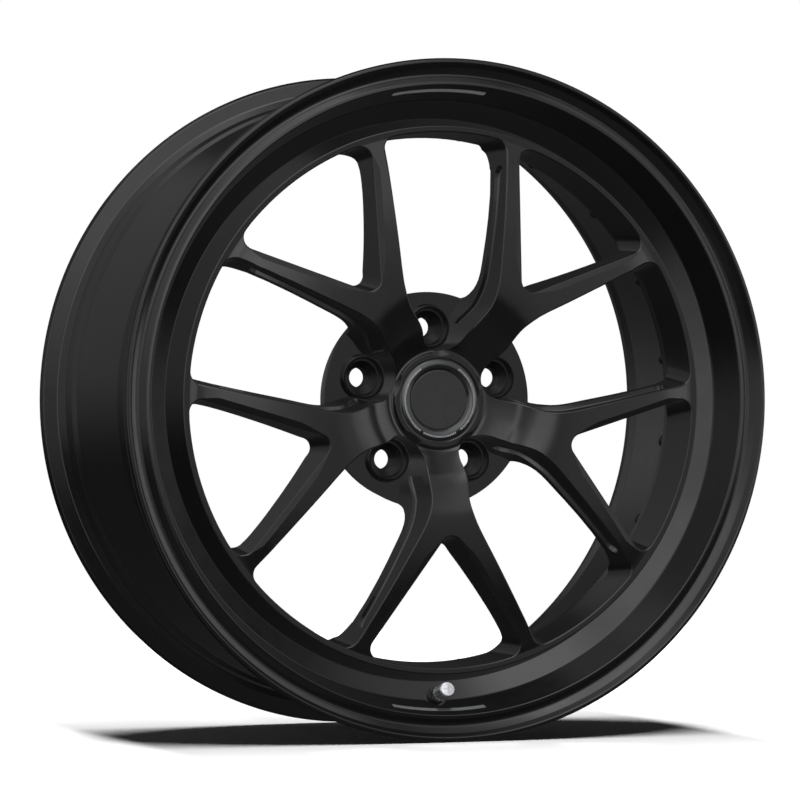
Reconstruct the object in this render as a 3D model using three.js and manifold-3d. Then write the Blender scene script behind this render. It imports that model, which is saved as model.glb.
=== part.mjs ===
// Forged multi-piece road wheel, five forked spokes, 19 x 8.5J, in millimetres, +Z up.
// The wheel turns about Y and its outboard side faces -Y. Depths below are measured
// inboard from the plane of the front flange crest.
import * as THREE from "three";
import Module from "manifold-3d";
import { mergeVertices } from "three/addons/utils/BufferGeometryUtils.js";

const wasm = await Module();
wasm.setup();

// ---- driving dimensions ----
const CREST_TO_CREST = 232.4;
const FLANGE_R = 258.6;
const SEGMENTS = 40;
const SPOKES = 5;
const LUG_CIRCLE_R = 56;
const LUG_BORE_R = 7.6;
const LUG_POCKET_R = 14.3;
const LUG_COLLAR_R = 16.4;
const COLLAR_FACE_DEPTH = 50;
const PAD_DEPTH = 55;
const HUB_FACE_DEPTH = 75;
const PAD_R = 80.9;
const CAP_BORE_R = 31.7;
const HUB_BORE_R = 36.6;
const RING_BACK_DEPTH = 57;
const FLANGE_PLATE = 4.2;
const GAP = 0.3;
const MERGE_TOLERANCE = 0.05;
const BOLTS = 20;
const BOLT_CIRCLE_R = 207.8;
const BOLT_SHANK_R = 3.3;
const VALVE_ANGLE = 269.4;
const VALVE_BASE_R = 226.3;
const VALVE_BASE_DEPTH = 33;
const VALVE_TILT = 14.5;
const STRIPE_SPANS = { top: [82.5, 100.75], bottom: [259.25, 277.5] };

const rad = (deg) => deg * Math.PI / 180;
const yAt = (depth) => depth - CREST_TO_CREST / 2;

// ---- closed solids ----
function toSolid(geometry) {
  geometry.deleteAttribute("normal");
  geometry.deleteAttribute("uv");
  const g = mergeVertices(geometry, 1e-4);
  const mesh = new wasm.Mesh({
    numProp: 3,
    vertProperties: new Float32Array(g.attributes.position.array),
    triVerts: new Uint32Array(g.index.array),
  });
  return new wasm.Manifold(mesh);
}

function toGeometry(solid) {
  const mesh = solid.simplify(MERGE_TOLERANCE).getMesh();
  const g = new THREE.BufferGeometry();
  g.setAttribute("position", new THREE.BufferAttribute(new Float32Array(mesh.vertProperties), 3));
  g.setIndex(new THREE.BufferAttribute(new Uint32Array(mesh.triVerts), 1));
  g.computeVertexNormals();
  return g;
}

// rings of the same count of points, joined in order and closed by a fan at both ends
function skin(rings) {
  const n = rings[0].length;
  const pos = rings.flat(2);
  const idx = [];
  for (let k = 0; k + 1 < rings.length; k++) {
    for (let i = 0; i < n; i++) {
      const a = k * n + i;
      const b = k * n + (i + 1) % n;
      idx.push(a, b, a + n, b, b + n, a + n);
    }
  }
  const last = (rings.length - 1) * n;
  const middle = (ring) => [0, 1, 2].map((k) => ring.reduce((sum, p) => sum + p[k], 0) / n);
  const low = rings.length * n;
  pos.push(...middle(rings[0]), ...middle(rings[rings.length - 1]));
  for (let i = 0; i < n; i++) {
    const j = (i + 1) % n;
    idx.push(low, j, i, low + 1, last + i, last + j);
  }
  const g = new THREE.BufferGeometry();
  g.setAttribute("position", new THREE.BufferAttribute(new Float32Array(pos), 3));
  g.setIndex(idx);
  const solid = toSolid(g);
  if (solid.volume() > 0) return solid;
  for (let i = 0; i < idx.length; i += 3) [idx[i], idx[i + 1]] = [idx[i + 1], idx[i]];
  g.setIndex(idx);
  return toSolid(g);
}

// closed outline of [radius, height] pairs turned about the local Y axis
function turned(outline, segments = SEGMENTS, start = 0) {
  let area = 0;
  for (let i = 0; i < outline.length; i++) {
    const [r0, h0] = outline[i];
    const [r1, h1] = outline[(i + 1) % outline.length];
    area += r0 * h1 - r1 * h0;
  }
  const points = area > 0 ? [...outline] : [...outline].reverse();
  const onAxis = points.some((p) => p[0] === 0);
  if (onAxis) {
    while (!(points[0][0] === 0 && points[points.length - 1][0] === 0)) points.push(points.shift());
  } else {
    points.push(points[0]);
  }
  const vectors = points.map(([r, h]) => new THREE.Vector2(r, h));
  return toSolid(new THREE.LatheGeometry(vectors, segments, start));
}

// facets touch the stated radii from outside, with a flat one at the bottom of the wheel
const CORNER = 1 / Math.cos(Math.PI / SEGMENTS);
const wheelTurned = (outline) => turned(
  outline.map(([r, d]) => [r * CORNER, yAt(d)]), SEGMENTS, Math.PI / SEGMENTS);

// local frame whose Y axis becomes the given direction, for small turned pieces
function place(solid, origin, direction) {
  const q = new THREE.Quaternion().setFromUnitVectors(
    new THREE.Vector3(0, 1, 0), new THREE.Vector3(...direction).normalize());
  const m = new THREE.Matrix4().compose(
    new THREE.Vector3(...origin), q, new THREE.Vector3(1, 1, 1));
  return solid.transform(m.elements);
}

// a point r out along the angle, with a sideways offset, at a depth
function polar(deg, u, w, depth) {
  const c = Math.cos(rad(deg));
  const s = Math.sin(rad(deg));
  return [u * c - w * s, yAt(depth), u * s + w * c];
}

function rounded(corners, steps = 3) {
  const out = [];
  const n = corners.length;
  corners.forEach(([x, y, r], i) => {
    if (!r) {
      out.push([x, y]);
      return;
    }
    const p = new THREE.Vector2(x, y);
    const a = new THREE.Vector2(...corners[(i + n - 1) % n].slice(0, 2)).sub(p).normalize();
    const b = new THREE.Vector2(...corners[(i + 1) % n].slice(0, 2)).sub(p).normalize();
    const half = Math.acos(THREE.MathUtils.clamp(a.dot(b), -1, 1)) / 2;
    const centre = a.clone().add(b).normalize().multiplyScalar(r / Math.sin(half)).add(p);
    const from = a.multiplyScalar(r / Math.tan(half)).add(p).sub(centre);
    const to = b.multiplyScalar(r / Math.tan(half)).add(p).sub(centre);
    let sweep = to.angle() - from.angle();
    if (sweep > Math.PI) sweep -= 2 * Math.PI;
    if (sweep < -Math.PI) sweep += 2 * Math.PI;
    for (let k = 0; k <= steps; k++) {
      const q = from.clone().rotateAround(new THREE.Vector2(), sweep * k / steps).add(centre);
      out.push([q.x, q.y]);
    }
  });
  return out;
}

// two outlines given at depths 5 and 31, carried on in straight lines to other depths
function drafted(deg, front, back, depths) {
  return skin(depths.map((d) => front.map(([u, w], i) => {
    const t = (d - 5) / 26;
    return polar(deg, u + (back[i][0] - u) * t, w + (back[i][1] - w) * t, d);
  })));
}

const interp = (table, x) => {
  let i = 0;
  while (i < table.length - 2 && x > table[i + 1][0]) i++;
  const [x0, y0] = table[i];
  const [x1, y1] = table[i + 1];
  return y0 + (y1 - y0) * (x - x0) / (x1 - x0);
};

// ---- forged centre: turned blank, then windows, pockets and bores ----
const centreFront = [
  [CAP_BORE_R, 27.3], [36.6, 27.3], [38.4, 30.2], [45, 23.4], [52.6, 15.7], [64.1, 7.3],
  [76, 3], [92, 0.5], [116, 1], [142, 3], [168, 6.6], [190, 11.6], [203, 15], [208.2, 15],
  [214.6, 40],
];
const centreBack = [
  [214.6, RING_BACK_DEPTH], [200.9, RING_BACK_DEPTH], [195, 46], [184, 36.8], [166, 32],
  [140, 30], [116, 31.6], [97, 35.5], [88, 42], [84, 53], [PAD_R, HUB_FACE_DEPTH - 1.4],
  [PAD_R - 1.4, HUB_FACE_DEPTH], [HUB_BORE_R, HUB_FACE_DEPTH], [HUB_BORE_R, 61.2],
  [CAP_BORE_R, 61.2],
];

const ringArc = (r, half) => [0.7, 0.35, 0, -0.35, -0.7].map((f) => [
  r * Math.cos(half * f), r * Math.sin(half * f), 0]);

function forkWindow() {
  const outline = (apex, apexRound, u, w) => rounded([
    [apex, 0, apexRound], [u, w, 9], ...ringArc(Math.hypot(u, w), Math.atan2(w, u)), [u, -w, 9],
  ]);
  return [outline(97.5, 8.8, 192.8, 67.2), outline(103.6, 7.3, 192.2, 64.2)];
}

function bigWindow() {
  const outline = (r, side) => {
    const end = side[side.length - 1];
    const across = side.map(([a, b, q]) => [a, -b, q]).reverse();
    const padHalf = Math.atan2(side[0][1], side[0][0]);
    const pad = [-0.6, 0, 0.6].map((f) => [
      r * Math.cos(padHalf * f), r * Math.sin(padHalf * f), 0]);
    const arc = ringArc(Math.hypot(end[0], end[1]), Math.atan2(end[1], end[0]));
    return rounded([...pad, ...side, ...arc, ...across]);
  };
  const front = [[75.5, 33.6, 0], [83, 36.2, 0], [95.9, 38.7, 0], [122.4, 41.8, 0],
    [174.4, 48.3, 0], [197.6, 51.6, 9]];
  const back = [[77.4, 27.4, 0], [84.5, 32.4, 0], [97.3, 35.1, 0], [123.6, 37.9, 0],
    [175.4, 44.5, 0], [196.9, 47.4, 9]];
  return [outline(PAD_R + 0.2, front), outline(PAD_R + 0.2, back)];
}

// recess in front of the pad, between two spoke roots
function lugRecess() {
  const build = (side) => {
    const arc = [];
    for (let k = -2; k <= 2; k++) {
      const a = Math.PI - k * 0.52;
      arc.push([LUG_CIRCLE_R + 17.6 * Math.cos(a), 17.6 * Math.sin(a)]);
    }
    return [...arc, ...side.map(([a, b]) => [a, -b]), ...[...side].reverse()];
  };
  return [
    build([[57.5, 22.9], [70.7, 31.9], [84, 36.4]]),
    build([[59.6, 20], [72.6, 28.6], [84.6, 32.4]]),
  ];
}

// half widths of a forked spoke at depths 5 and 31, against distance along its middle
const HALF_FRONT = [[40, 15.2], [76, 15.8], [88.4, 19.5], [100.3, 25.1], [123.6, 38.1],
  [146.5, 51.3], [169.5, 63.5], [185, 71.8]];
const HALF_BACK = [[40, 18.6], [76, 20.2], [87.4, 23.5], [99.3, 28.8], [122.3, 42],
  [145.2, 54.8], [168.1, 67.1], [185, 76.1]];
const SLOT_FRONT = [[62, 18], [84, 7], [100, 6.2], [123, 7.2], [146, 9.6], [171, 14]];
const SLOT_BACK = [[62, 40], [84, 30], [100, 26.4], [123, 24.2], [146, 24], [171, 27.6]];

function legSlot(deg, side) {
  const stations = [62, 84, 100, 123, 166, 171.5];
  const rings = stations.map((u, k) => {
    const tip = k === stations.length - 1 ? 5 : 0;
    const d0 = interp(SLOT_FRONT, u) + tip;
    const d1 = interp(SLOT_BACK, u) - tip;
    const wall = (d) => {
      const f = interp(HALF_FRONT, u);
      return f + (interp(HALF_BACK, u) - f) * (d - 5) / 26;
    };
    return [[wall(d0) - 4, d0 + 1.2], [wall(d0) + 4, d0 - 1.2], [wall(d1) + 4, d1 + 1.2],
      [wall(d1) - 4, d1 - 1.2]].map(([w, d]) => polar(deg, u, side * w, d));
  });
  return skin(rings);
}

// round tool along Y, between two depths
function tool(r, d0, d1, deg, reach, segments = 16) {
  const cut = turned([[0, yAt(d0)], [r, yAt(d0)], [r, yAt(d1)], [0, yAt(d1)]], segments);
  const [x, , z] = polar(deg, reach, 0, 0);
  return cut.translate([x, 0, z]);
}

function boltHoles(solid, r, d0, d1) {
  for (let i = 0; i < BOLTS; i++) {
    solid = solid.subtract(tool(r, d0, d1, 360 / BOLTS * (i + 0.5), BOLT_CIRCLE_R, 8));
  }
  return solid;
}

function centreDisc() {
  let solid = wheelTurned([...centreFront, ...centreBack]);
  const [fork0, fork1] = forkWindow();
  const [big0, big1] = bigWindow();
  const [rec0, rec1] = lugRecess();
  for (let i = 0; i < SPOKES; i++) {
    const spoke = 270 + 72 * i;
    const lug = 90 + 72 * i;
    solid = solid.subtract(drafted(spoke, fork0, fork1, [-12, 80]));
    solid = solid.subtract(drafted(lug, big0, big1, [-12, 80]));
    solid = solid.subtract(drafted(lug, rec0, rec1, [-12, PAD_DEPTH]));
    solid = solid.subtract(tool(18.4, -12, PAD_DEPTH, lug, LUG_CIRCLE_R));
    for (const side of [1, -1]) solid = solid.subtract(legSlot(spoke, side));
    const collar = turned([[0, yAt(PAD_DEPTH + 2)], [17.6, yAt(PAD_DEPTH + 2)],
      [17.6, yAt(PAD_DEPTH)], [LUG_COLLAR_R, yAt(COLLAR_FACE_DEPTH)],
      [0, yAt(COLLAR_FACE_DEPTH)]], 16);
    const [x, , z] = polar(lug, LUG_CIRCLE_R, 0, 0);
    solid = solid.add(collar.translate([x, 0, z]));
    solid = solid.subtract(tool(LUG_POCKET_R, 40, 66.3, lug, LUG_CIRCLE_R));
    solid = solid.subtract(tool(LUG_BORE_R, 60, 80, lug, LUG_CIRCLE_R, 12));
  }
  return boltHoles(solid, BOLT_SHANK_R + 0.4, 43, 60);
}

// ---- rim halves ----
const plate0 = RING_BACK_DEPTH + GAP;
const plate1 = plate0 + FLANGE_PLATE;
const plate2 = plate1 + GAP;
const plate3 = plate2 + FLANGE_PLATE;
const WELL_R = 222.5;

const outerRimOutline = [
  [FLANGE_R, 0], [257.4, -3], [254.9, -4], [252.2, 2.1], [245.7, 9], [244.6, 5], [241, 1.2],
  [238.4, 0.6], [228.9, 30.6], [214.95, 39.9], [214.95, plate0], [202.4, plate0],
  [202.4, plate1], [219.6, plate1], [WELL_R, 58.6], [WELL_R, 49], [236, 37.5], [240.4, 32],
  [240, 26], [241.3, 14], [244, 11], [252, 10], [257.6, 5],
];
const innerRimOutline = [
  [219.6, plate2], [202.4, plate2], [202.4, plate3], [213.5, plate3], [215.6, 70], [215.8, 96],
  [230.4, 188], [234.6, 198], [235.4, 214], [240.6, 233.2], [254.9, 236.4], [257.4, 235.4],
  [FLANGE_R, CREST_TO_CREST], [256.8, 228], [246.3, 224.6], [241.3, 219], [239.6, 207],
  [240.6, 203], [237.6, 199.5], [228, 122], [222.6, 96], [WELL_R, 64.4],
];

const tiltS = Math.sin(rad(VALVE_TILT));
const tiltC = Math.cos(rad(VALVE_TILT));
const outward = [Math.cos(rad(VALVE_ANGLE)), 0, Math.sin(rad(VALVE_ANGLE))];
const valveDir = [-outward[0] * tiltS, -tiltC, -outward[2] * tiltS];
const valveBase = polar(VALVE_ANGLE, VALVE_BASE_R, 0, VALVE_BASE_DEPTH);
const onValve = (outline, segments = 12) => place(turned(outline, segments), valveBase, valveDir);
const rod = (r, s0, s1, segments) => onValve([[0, s0], [r, s0], [r, s1], [0, s1]], segments);
const tube = (r0, r1, s0, s1, segments) => onValve(
  [[r0, s0], [r1, s0], [r1, s1], [r0, s1]], segments);

function outerRim() {
  let solid = wheelTurned(outerRimOutline);
  solid = boltHoles(solid, BOLT_SHANK_R + 0.5, plate0 - 2, plate1 + 2);
  solid = solid.subtract(rod(8.4, 0, 22, 16));
  solid = solid.subtract(rod(9.4, -30, -10, 16));
  return solid.subtract(rod(6.1, -20, 10));
}

const innerRim = () => boltHoles(wheelTurned(innerRimOutline), BOLT_SHANK_R + 0.5, plate2 - 2,
  plate3 + 2);

// seal in the groove where the two halves meet on the tyre side
const rimSeal = () => wheelTurned([
  [220.1, plate1 + 0.02], [220.1, plate2 - 0.02], [222.1, 63.6], [222.1, 59.3]]);

function assemblyBolt(deg) {
  const s0 = yAt(plate3 + GAP);
  const [x, , z] = polar(deg, BOLT_CIRCLE_R, 0, 0);
  return turned([[0, yAt(45)], [BOLT_SHANK_R, yAt(45)], [BOLT_SHANK_R, s0], [5.4, s0],
    [5.4, s0 + 6.6], [0, s0 + 6.6]], 8).translate([x, 0, z]);
}

function lugSeat(deg) {
  const [x, , z] = polar(deg, LUG_CIRCLE_R, 0, 0);
  return turned([[LUG_BORE_R, yAt(66)], [13.8, yAt(66)], [13.8, yAt(56)], [12.6, yAt(56)],
    [LUG_BORE_R, yAt(62.6)]], 16).translate([x, 0, z]);
}

// ---- centre cap ----
const capTurned = (outline) => turned(outline.map(([r, d]) => [r, yAt(d)]), 28);
const capBody = () => capTurned([
  [0, 30.9], [31.2, 30.9], [31.2, 33.4], [29.4, 34.4], [29.4, 42], [31.2, 43.4], [29.4, 46.2],
  [27.4, 46.2], [27.4, 35.4], [0, 35.4]]);
const capRing = () => capTurned([
  [23.1, 29.2], [24, 27.9], [30, 27.4], [31.2, 28.6], [31.2, 30.6], [23.1, 30.6]]);
const capPlate = () => capTurned([[0, 29], [22.1, 29], [22.8, 29.5], [22.8, 30.6], [0, 30.6]]);
const capSpring = () => capTurned([
  [25.6, 40.2], [27, 40.2], [27, 41.8], [25.6, 41.8]]);
const hubRing = () => wheelTurned([
  [33.3, 61.6], [36.2, 61.6], [36.2, 74.4], [33.3, 74.4]]);

// ---- valve ----
const valveStem = () => onValve([
  [2.6, -15], [7.8, -15], [8.2, -14.4], [8.2, -12.6], [4, -12.3], [4, 26.4], [3.6, 26.8],
  [2.6, 26.8]]);
const valveGrommet = () => onValve([
  [4.3, -9.4], [5.6, -9.4], [5.6, 0.3], [6.9, 0.3], [6.9, 1.4], [6.3, 2.5], [4.3, 2.5]]);
const valveSeal = () => tube(4.3, 8, -12, -10.3);
const valveWasher = () => tube(4.3, 6.8, 2.8, 4);
const valveCore = () => onValve([
  [1, 5], [2.3, 5], [2.3, 22], [1, 22], [1, 19.5], [1.9, 18.8], [1.9, 7], [1, 6.6]], 10);
const valvePin = () => onValve([
  [0, 3.2], [1.8, 3.2], [1.8, 4.6], [0.65, 4.7], [0.65, 15], [1.6, 15.2], [1.6, 16.2],
  [0.65, 16.4], [0.65, 25.6], [0, 25.6]], 8);

function valveNut() {
  const hex = turned([[0, 4.3], [6.3, 4.3], [6.3, 9.2], [0, 9.2]], 6);
  const flange = turned([[0, 4.3], [6.8, 4.3], [6.8, 5.3], [5.4, 6], [0, 6]], 12);
  const bore = turned([[0, 3], [4.3, 3], [4.3, 12], [0, 12]], 12);
  return place(hex.add(flange).subtract(bore), valveBase, valveDir);
}

function valveCap() {
  const body = turned([[0, 13.4], [6.2, 13.4], [6.2, 29.4], [5.2, 30.8], [0, 30.8]], 8);
  const bore = turned([[0, 12], [4.4, 12], [4.4, 28.4], [0, 28.4]], 12);
  return place(body.subtract(bore), valveBase, valveDir);
}

const valveCapSeal = () => tube(1.2, 4.1, 27.3, 28.1, 12);

function valveSpring() {
  const turns = 4;
  const start = 7.3;
  const pitch = 1.4;
  const path = new THREE.Curve();
  path.getPoint = (t) => new THREE.Vector3(
    1.27 * Math.cos(t * turns * 2 * Math.PI), start + 0.25 + t * turns * pitch,
    1.27 * Math.sin(t * turns * 2 * Math.PI));
  const shape = new THREE.Shape();
  for (let k = 0; k < 4; k++) {
    const a = k * Math.PI / 2;
    if (k === 0) shape.moveTo(0.24, 0);
    else shape.lineTo(0.24 * Math.cos(a), 0.24 * Math.sin(a));
  }
  const wire = new THREE.ExtrudeGeometry(shape, {
    steps: 8 * turns, bevelEnabled: false, extrudePath: path });
  const solid = toSolid(wire);
  return place(solid.volume() > 0 ? solid : solid.mirror([0, 0, 1]), valveBase, valveDir);
}

// ---- plain accent stripes on the lip, following its facets ----
function lipStripe([from, to]) {
  const step = 360 / SEGMENTS;
  const flat = (r, a) => r / Math.cos(rad((a + step / 2) % step - step / 2));
  const wall = (d) => interp([[0.6, 238.4], [30.6, 228.9]], d);
  const stops = [from];
  for (let a = (Math.ceil(from / step - 0.5) + 0.5) * step; a < to; a += step) stops.push(a);
  stops.push(to);
  return skin(stops.map((a) => [[9, 0.6], [9, GAP], [14, GAP], [14, 0.6]].map(
    ([d, off]) => polar(a, flat(wall(d), a) - off, 0, d))));
}

// ---- assembly ----
const COLOURS = {
  satin_black: { color: 0x1a1b1c, metalness: 0.6, roughness: 0.42 },
  steel: { color: 0x8d9094, metalness: 1, roughness: 0.35 },
  rubber: { color: 0x121212, metalness: 0, roughness: 0.85 },
  plastic: { color: 0x17181a, metalness: 0, roughness: 0.5 },
  bright: { color: 0xb9bcc0, metalness: 1, roughness: 0.25 },
  brass: { color: 0xb08d4a, metalness: 1, roughness: 0.35 },
  stripe: { color: 0x9a9c9e, metalness: 0.2, roughness: 0.5 },
};

const group = new THREE.Group();
group.name = "forged_wheel";

function addPiece(name, solid, look) {
  const mesh = new THREE.Mesh(toGeometry(solid), new THREE.MeshStandardMaterial(COLOURS[look]));
  mesh.name = name;
  group.add(mesh);
}

addPiece("centre_disc", centreDisc(), "satin_black");
addPiece("outer_rim", outerRim(), "satin_black");
addPiece("inner_rim", innerRim(), "satin_black");
addPiece("rim_seal", rimSeal(), "rubber");
addPiece("hub_ring", hubRing(), "plastic");
for (let i = 0; i < SPOKES; i++) addPiece(`lug_seat_${i + 1}`, lugSeat(90 + 72 * i), "steel");
for (let i = 0; i < BOLTS; i++) {
  const id = String(i + 1).padStart(2, "0");
  addPiece(`assembly_bolt_${id}`, assemblyBolt(360 / BOLTS * (i + 0.5)), "steel");
}
addPiece("cap_body", capBody(), "plastic");
addPiece("cap_ring", capRing(), "bright");
addPiece("cap_plate", capPlate(), "plastic");
addPiece("cap_spring", capSpring(), "steel");
addPiece("valve_stem", valveStem(), "satin_black");
addPiece("valve_grommet", valveGrommet(), "rubber");
addPiece("valve_seal", valveSeal(), "rubber");
addPiece("valve_washer", valveWasher(), "satin_black");
addPiece("valve_nut", valveNut(), "satin_black");
addPiece("valve_core", valveCore(), "brass");
addPiece("valve_pin", valvePin(), "brass");
addPiece("valve_spring", valveSpring(), "steel");
addPiece("valve_cap", valveCap(), "bright");
addPiece("valve_cap_seal", valveCapSeal(), "rubber");
addPiece("stripe_top", lipStripe(STRIPE_SPANS.top), "stripe");
addPiece("stripe_bottom", lipStripe(STRIPE_SPANS.bottom), "stripe");

export default group;
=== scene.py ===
"""A forged multi-piece road wheel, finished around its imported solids.

Lengths are in millimetres and angles in degrees unless a comment says otherwise.
The wheel turns about Y. A radius is measured from that axis, and a depth inboard
from the plane of the spokes' front faces.
"""

import math

import bmesh
import bpy
from mathutils import Matrix, Vector


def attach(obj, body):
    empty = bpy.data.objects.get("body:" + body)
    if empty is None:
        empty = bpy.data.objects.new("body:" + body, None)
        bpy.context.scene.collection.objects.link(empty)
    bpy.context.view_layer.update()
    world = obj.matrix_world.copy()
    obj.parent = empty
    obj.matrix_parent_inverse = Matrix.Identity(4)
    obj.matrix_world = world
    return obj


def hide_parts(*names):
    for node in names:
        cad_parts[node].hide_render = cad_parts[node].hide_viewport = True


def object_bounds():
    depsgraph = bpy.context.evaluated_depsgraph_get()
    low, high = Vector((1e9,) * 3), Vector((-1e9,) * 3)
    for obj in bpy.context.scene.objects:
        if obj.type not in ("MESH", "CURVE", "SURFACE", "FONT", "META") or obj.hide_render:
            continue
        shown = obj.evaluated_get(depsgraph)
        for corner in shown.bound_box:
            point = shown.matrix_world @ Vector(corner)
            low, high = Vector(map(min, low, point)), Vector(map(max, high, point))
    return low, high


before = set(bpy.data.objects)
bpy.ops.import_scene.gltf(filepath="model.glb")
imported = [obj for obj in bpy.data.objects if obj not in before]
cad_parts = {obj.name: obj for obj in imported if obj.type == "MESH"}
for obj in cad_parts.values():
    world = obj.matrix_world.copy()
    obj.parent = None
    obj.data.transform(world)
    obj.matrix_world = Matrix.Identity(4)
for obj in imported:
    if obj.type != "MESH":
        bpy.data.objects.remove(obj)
LOW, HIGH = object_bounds()

bl_info = {
    "name": "Forged road wheel",
    "version": (1, 0, 0),
    "blender": (4, 5, 0),
    "location": "3D View > Sidebar > Wheel",
    "description": "Builds a forged wheel with forked spokes, its cap, valve and bolts",
    "category": "Add Mesh",
}

MM = 0.001
BEAD_PROUD = 4.0  # how far the flange's crest stands in front of the spokes
FACE_Y = LOW.y / MM + BEAD_PROUD
FLOOR_Z = LOW.z
WHEEL = "wheel"
SPOKES = 5
SPOKE_ANGLES = [270 + 72 * i for i in range(SPOKES)]
LUG_ANGLES = [90 + 72 * i for i in range(SPOKES)]
LUG_CIRCLE = 56.0
BOLTS = 20
BOLT_CIRCLE = 207.8
VALVE_ANGLE = 269.4
VALVE_BASE_RADIUS = 226.3
VALVE_BASE_DEPTH = 33.0
VALVE_TILT = 14.5
DRAFT_NEAR = 5.0  # depths at which the drafted outlines are given
DRAFT_FAR = 31.0
PAD_DEPTH = 55.0
LARGE_STEPS = 240
SMALL_STEPS = 64


# ---- outlines ----
def rounded(corners, steps=5):
    """A closed outline whose corners (x, y, round) become arcs."""
    line = []
    for i, corner in enumerate(corners):
        here = Vector(corner[:2])
        round_by = corner[2] if len(corner) > 2 else 0
        if not round_by:
            line.append(here)
            continue
        back = (Vector(corners[i - 1][:2]) - here).normalized()
        on = (Vector(corners[(i + 1) % len(corners)][:2]) - here).normalized()
        half = back.angle(on) / 2
        centre = here + (back + on).normalized() * (round_by / math.sin(half))
        start = here + back * (round_by / math.tan(half)) - centre
        end = here + on * (round_by / math.tan(half)) - centre
        sweep = start.angle_signed(end)
        for k in range(steps + 1):
            turn = Matrix.Rotation(-sweep * k / steps, 2)
            line.append(centre + turn @ start)
    return line


def flowing(points, steps=4):
    """A smooth line through the points, with that many steps between two of them."""
    points = [Vector(p[:2]) for p in points]
    padded = [points[0] * 2 - points[1], *points, points[-1] * 2 - points[-2]]
    line = []
    for a, b, c, d in zip(padded, padded[1:], padded[2:], padded[3:]):
        for k in range(steps):
            t = k / steps
            line.append(
                b
                + (c - a) * (t / 2)
                + (a * 2 - b * 5 + c * 4 - d) * (t * t / 2)
                + (b * 3 - a - c * 3 + d) * (t**3 / 2)
            )
    return line + [points[-1]]


def value_at(line, x):
    """The y of a line of (x, y) points at x, with x rising along it."""
    for (x0, y0), (x1, y1) in zip(line, line[1:]):
        if x <= x1:
            break
    share = min(1.0, max(0.0, (x - x0) / (x1 - x0)))
    return y0 + (y1 - y0) * share


def arc(radius, first, last, steps, centre=(0.0, 0.0)):
    """Points on an arc about a centre, both ends included."""
    turns = [math.radians(first + (last - first) * k / steps) for k in range(steps + 1)]
    return [
        Vector((centre[0] + radius * math.cos(a), centre[1] + radius * math.sin(a)))
        for a in turns
    ]


def sideways(outline):
    """For each point of a closed outline, the unit direction that leads out of it."""
    n = len(outline)
    area = sum(outline[i].cross(outline[(i + 1) % n]) for i in range(n))
    turn = 1 if area > 0 else -1
    found = []
    for i in range(n):
        along = (outline[(i + 1) % n] - outline[i - 1]).normalized()
        found.append(Vector((along.y, -along.x)) * turn)
    return found


# ---- the forged centre's turned faces ----
SPOKE_FACE = flowing(
    [
        (40.4, 28.8), (45, 23.4), (52.6, 15.7), (58, 10.8), (64.1, 7.3), (70, 4.9),
        (76, 3.1), (83, 1.4), (90.5, 0.5), (100, 0.4), (116, 1.1), (129, 2.0),
        (142, 3.2), (155, 4.8), (168, 6.8), (181, 9.2), (192, 12), (199, 14.3),
    ],
    3,
)
SPOKE_BACK = flowing(
    [
        (82.5, 57), (84.5, 49), (87, 43), (90.5, 39), (95, 36), (103, 33.5), (116, 31.7),
        (129, 30.3), (142, 30), (155, 30.7), (168, 32.2), (181, 35.4), (188, 39),
        (194, 44.5), (197, 50), (201, 57),
    ],
    2,
)
RING_FACE_DEPTH = 15.0


def face_depth(radius):
    """Depth of the centre's front face at a radius."""
    line = [(37.5, 30.6), *SPOKE_FACE, (203, RING_FACE_DEPTH), (212, RING_FACE_DEPTH)]
    return value_at(line, radius)


def back_depth(radius):
    """Depth of the centre's rear face at a radius."""
    return value_at([(80, 60), *SPOKE_BACK, (215, 57)], radius)


# ---- solids ----
def polar(angle, along, across, depth):
    """The point along an angle, with a sideways offset, at a depth, in metres."""
    turn = math.radians(angle)
    return Vector((
        along * math.cos(turn) - across * math.sin(turn),
        FACE_Y + depth,
        along * math.sin(turn) + across * math.cos(turn),
    )) * MM


def wheel_place(angle=0.0, reach=0.0):
    """Takes a turned solid's own Z to depth, at a reach along an angle."""
    return Matrix.Translation(polar(angle, reach, 0, 0)) @ Matrix.Rotation(-math.pi / 2, 4, "X")


def valve_place():
    """Takes a turned solid's own Z to the valve's axis, which leans towards the hub."""
    turn, lean = math.radians(VALVE_ANGLE), math.radians(VALVE_TILT)
    outward = Vector((math.cos(turn), 0, math.sin(turn)))
    direction = Vector((0, -1, 0)) * math.cos(lean) - outward * math.sin(lean)
    base = polar(VALVE_ANGLE, VALVE_BASE_RADIUS, 0, VALVE_BASE_DEPTH)
    return Matrix.Translation(base) @ direction.to_track_quat("Z", "X").to_matrix().to_4x4()


def tidy(bm):
    """Merges doubles and turns every face outwards."""
    bmesh.ops.remove_doubles(bm, verts=bm.verts, dist=1e-7)
    bmesh.ops.recalc_face_normals(bm, faces=bm.faces)
    return bm


def turned(outline, steps=SMALL_STEPS, place=None, into=None):
    """Spins an outline of (radius, height) points. It is closed, or ends on the axis twice."""
    bm = bmesh.new()
    ring = [bm.verts.new((r * MM, 0, h * MM)) for r, h in outline]
    following = ring[1:] + ring[:1]
    if outline[0][0] == 0 and outline[-1][0] == 0:
        ring, following = ring[:-1], following[:-1]
    edges = [bm.edges.new(pair) for pair in zip(ring, following)]
    bmesh.ops.spin(
        bm, geom=bm.verts[:] + edges, cent=(0, 0, 0), axis=(0, 0, 1),
        angle=2 * math.pi, steps=steps, use_merge=True,
    )
    tidy(bm)
    bmesh.ops.transform(bm, matrix=place or Matrix(), verts=bm.verts)
    return merged(bm, into)


def merged(bm, into):
    """Adds bm's mesh to another one, or hands it back."""
    if into is None:
        return bm
    mesh = bpy.data.meshes.new("part")
    bm.to_mesh(mesh)
    bm.free()
    into.from_mesh(mesh)
    bpy.data.meshes.remove(mesh)
    return into


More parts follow.
